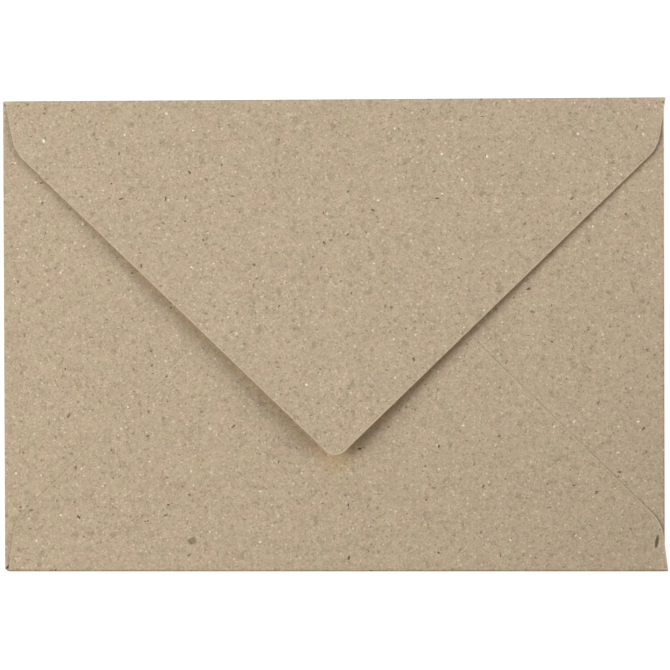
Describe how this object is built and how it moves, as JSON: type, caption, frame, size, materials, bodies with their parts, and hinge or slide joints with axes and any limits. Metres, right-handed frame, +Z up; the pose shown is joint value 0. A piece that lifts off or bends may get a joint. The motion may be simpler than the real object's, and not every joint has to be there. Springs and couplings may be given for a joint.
{
  "type": "paper envelope",
  "caption": "Card envelope folded from one sheet of speckled brown recycled paper, with glued side and bottom flaps and a pointed top flap folded down over them, unsealed.",
  "frame": {"origin": "middle of the envelope's outline, on the surface that it lies on", "axes": "+X along the long side, to the right with the flap side in view; +Y from the bottom fold to the top fold; +Z up, out of the flap side"},
  "size_m": [0.1618, 0.115, 0.0044],
  "materials": {
    "paper": "matt uncoated brown recycled paper with fine light and dark fibres"
  },
  "bodies": {
    "root": {"envelope": "paper"}
  },
  "joints": []
}
